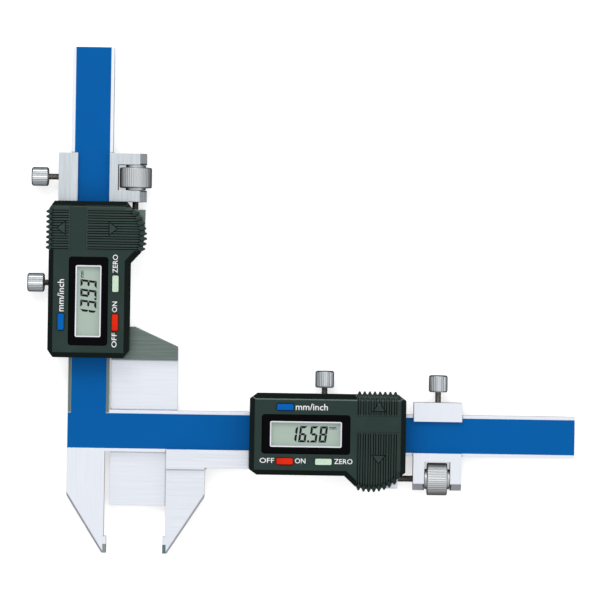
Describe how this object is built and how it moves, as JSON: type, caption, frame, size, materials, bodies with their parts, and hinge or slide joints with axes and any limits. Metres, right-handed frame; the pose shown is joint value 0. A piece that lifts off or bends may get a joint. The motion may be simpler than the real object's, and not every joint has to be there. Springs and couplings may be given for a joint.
{
  "type": "gear_tooth_caliper",
  "caption": "Digital gear tooth caliper: L-shaped steel frame, moving jaw and tongue on sliders with ribbed display units, thumb screws and knurled fine adjustment",
  "frame": {"origin": "Lower corner of the fixed jaw's measuring face, halfway through the beams' thickness.", "axes": "+X runs along the horizontal beam, in the opening direction of the jaws. +Y runs up the vertical beam, away from the jaw ends. +Z points out of the displays, so the caliper lies on its back in the XY plane."},
  "size_m": [0.1615, 0.1485, 0.0165],
  "materials": {
    "satin_steel": "satin, fine-ground",
    "carbide": "ground hard metal",
    "dark_steel": "oiled black",
    "nickel": "plated, knurled",
    "brass": "machined",
    "dark_plastic": "fine-textured, dark green-grey",
    "black_plastic": "semi-gloss",
    "white_plastic": "matt",
    "lcd_grey": "clear display glass over grey",
    "pink_rubber": "soft",
    "board_green": "lacquered board",
    "blue_label": "printed film",
    "blue_button": "moulded",
    "red_button": "moulded",
    "pale_button": "moulded"
  },
  "bodies": {
    "frame": {"main_frame": "satin_steel", "fixed_jaw_tip": "carbide", "horizontal_scale": "board_green", "vertical_scale": "board_green", "horizontal_label": "blue_label", "vertical_label": "blue_label", "end_stop_screws": "dark_steel"},
    "jaw_unit": {"jaw_slider": "satin_steel", "moving_jaw_tip": "carbide", "jaw_gib": "brass", "jaw_gib_screws": "dark_steel", "jaw_housing": "dark_plastic", "jaw_bezel": "black_plastic", "jaw_lcd_frame": "white_plastic", "jaw_lcd": "lcd_grey", "jaw_lcd_connector": "pink_rubber", "jaw_circuit_board": "board_green", "jaw_button_cell": "nickel", "jaw_battery_contacts": "nickel", "jaw_housing_screws": "dark_steel", "jaw_fine_screw": "dark_steel"},
    "jaw_battery_cover": {"jaw_battery_cover": "dark_plastic"},
    "jaw_port_cover": {"jaw_port_cover": "dark_plastic"},
    "jaw_unit_button": {"jaw_unit_button": "blue_button"},
    "jaw_power_button": {"jaw_power_button": "red_button"},
    "jaw_zero_button": {"jaw_zero_button": "pale_button"},
    "jaw_lock_pad": {"jaw_lock_pad": "brass"},
    "jaw_lock_screw": {"jaw_lock_screw": "nickel"},
    "jaw_carriage": {"jaw_carriage": "satin_steel"},
    "jaw_fine_nut": {"jaw_fine_nut": "nickel"},
    "jaw_clamp_pad": {"jaw_clamp_pad": "brass"},
    "jaw_clamp_screw": {"jaw_clamp_screw": "nickel"},
    "tongue_unit": {"tongue_slider": "satin_steel", "tongue_gib": "brass", "tongue_gib_screws": "dark_steel", "tongue_housing": "dark_plastic", "tongue_bezel": "black_plastic", "tongue_lcd_frame": "white_plastic", "tongue_lcd": "lcd_grey", "tongue_lcd_connector": "pink_rubber", "tongue_circuit_board": "board_green", "tongue_button_cell": "nickel", "tongue_battery_contacts": "nickel", "tongue_housing_screws": "dark_steel", "tongue_fine_screw": "dark_steel"},
    "tongue_battery_cover": {"tongue_battery_cover": "dark_plastic"},
    "tongue_port_cover": {"tongue_port_cover": "dark_plastic"},
    "tongue_unit_button": {"tongue_unit_button": "blue_button"},
    "tongue_power_button": {"tongue_power_button": "red_button"},
    "tongue_zero_button": {"tongue_zero_button": "pale_button"},
    "tongue_lock_pad": {"tongue_lock_pad": "brass"},
    "tongue_lock_screw": {"tongue_lock_screw": "nickel"},
    "tongue_carriage": {"tongue_carriage": "satin_steel"},
    "tongue_fine_nut": {"tongue_fine_nut": "nickel"},
    "tongue_clamp_pad": {"tongue_clamp_pad": "brass"},
    "tongue_clamp_screw": {"tongue_clamp_screw": "nickel"}
  },
  "joints": [
    {"name": "jaw_slide", "type": "slide", "parent": "frame", "child": "jaw_unit", "axis": [1, 0, 0], "range_m": [-0.01658, 0.0274]},
    {"name": "jaw_fine_slide", "type": "slide", "parent": "jaw_unit", "child": "jaw_carriage", "axis": [1, 0, 0], "range_m": [-0.0043, 0.003]},
    {"name": "jaw_fine_turn", "type": "hinge", "parent": "jaw_carriage", "child": "jaw_fine_nut", "pos_m": [0.09698, 0.0231, 0], "axis": [1, 0, 0], "range_deg": [-3879, 2709]},
    {"name": "jaw_lock_travel", "type": "slide", "parent": "jaw_unit", "child": "jaw_lock_pad", "axis": [0, 1, 0], "range_m": [0, 0.0008]},
    {"name": "jaw_lock_turn", "type": "hinge", "parent": "jaw_lock_pad", "child": "jaw_lock_screw", "pos_m": [0.06358, 0.04, 0], "axis": [0, 1, 0], "range_deg": [-9, 729]},
    {"name": "jaw_clamp_travel", "type": "slide", "parent": "jaw_carriage", "child": "jaw_clamp_pad", "axis": [0, 1, 0], "range_m": [0, 0.0008]},
    {"name": "jaw_clamp_turn", "type": "hinge", "parent": "jaw_clamp_pad", "child": "jaw_clamp_screw", "pos_m": [0.09698, 0.04, 0], "axis": [0, 1, 0], "range_deg": [-9, 729]},
    {"name": "jaw_battery_cover_slide", "type": "slide", "parent": "jaw_unit", "child": "jaw_battery_cover", "axis": [0, -1, 0], "range_m": [0, 0.017]},
    {"name": "jaw_port_cover_slide", "type": "slide", "parent": "jaw_unit", "child": "jaw_port_cover", "axis": [0, 1, 0], "range_m": [0, 0.007]},
    {"name": "jaw_unit_press", "type": "slide", "parent": "jaw_unit", "child": "jaw_unit_button", "axis": [0, 0, -1], "range_m": [0, 0.00045], "stiffness_N_per_m": 800},
    {"name": "jaw_power_press", "type": "slide", "parent": "jaw_unit", "child": "jaw_power_button", "axis": [0, 0, -1], "range_m": [0, 0.00045], "stiffness_N_per_m": 800},
    {"name": "jaw_zero_press", "type": "slide", "parent": "jaw_unit", "child": "jaw_zero_button", "axis": [0, 0, -1], "range_m": [0, 0.00045], "stiffness_N_per_m": 800},
    {"name": "tongue_slide", "type": "slide", "parent": "frame", "child": "tongue_unit", "axis": [0, 1, 0], "range_m": [-0.01393, 0.0254]},
    {"name": "tongue_fine_slide", "type": "slide", "parent": "tongue_unit", "child": "tongue_carriage", "axis": [0, 1, 0], "range_m": [-0.0021, 0.003]},
    {"name": "tongue_fine_turn", "type": "hinge", "parent": "tongue_carriage", "child": "tongue_fine_nut", "pos_m": [0.0071, 0.11028, 0], "axis": [0, 1, 0], "range_deg": [-1899, 2709]},
    {"name": "tongue_lock_travel", "type": "slide", "parent": "tongue_unit", "child": "tongue_lock_pad", "axis": [-1, 0, 0], "range_m": [0, 0.0008]},
    {"name": "tongue_lock_turn", "type": "hinge", "parent": "tongue_lock_pad", "child": "tongue_lock_screw", "pos_m": [-0.0098, 0.07913, 0], "axis": [-1, 0, 0], "range_deg": [-9, 729]},
    {"name": "tongue_clamp_travel", "type": "slide", "parent": "tongue_carriage", "child": "tongue_clamp_pad", "axis": [-1, 0, 0], "range_m": [0, 0.0008]},
    {"name": "tongue_clamp_turn", "type": "hinge", "parent": "tongue_clamp_pad", "child": "tongue_clamp_screw", "pos_m": [-0.0098, 0.11028, 0], "axis": [-1, 0, 0], "range_deg": [-9, 729]},
    {"name": "tongue_battery_cover_slide", "type": "slide", "parent": "tongue_unit", "child": "tongue_battery_cover", "axis": [1, 0, 0], "range_m": [0, 0.017]},
    {"name": "tongue_port_cover_slide", "type": "slide", "parent": "tongue_unit", "child": "tongue_port_cover", "axis": [-1, 0, 0], "range_m": [0, 0.007]},
    {"name": "tongue_unit_press", "type": "slide", "parent": "tongue_unit", "child": "tongue_unit_button", "axis": [0, 0, -1], "range_m": [0, 0.00045], "stiffness_N_per_m": 800},
    {"name": "tongue_power_press", "type": "slide", "parent": "tongue_unit", "child": "tongue_power_button", "axis": [0, 0, -1], "range_m": [0, 0.00045], "stiffness_N_per_m": 800},
    {"name": "tongue_zero_press", "type": "slide", "parent": "tongue_unit", "child": "tongue_zero_button", "axis": [0, 0, -1], "range_m": [0, 0.00045], "stiffness_N_per_m": 800}
  ],
  "couplings": [
    {"joint": "jaw_fine_turn", "follows": "jaw_fine_slide", "rad_per_m": 15708},
    {"joint": "jaw_lock_turn", "follows": "jaw_lock_travel", "rad_per_m": 15708},
    {"joint": "jaw_clamp_turn", "follows": "jaw_clamp_travel", "rad_per_m": 15708},
    {"joint": "tongue_fine_turn", "follows": "tongue_fine_slide", "rad_per_m": 15708},
    {"joint": "tongue_lock_turn", "follows": "tongue_lock_travel", "rad_per_m": 15708},
    {"joint": "tongue_clamp_turn", "follows": "tongue_clamp_travel", "rad_per_m": 15708}
  ]
}
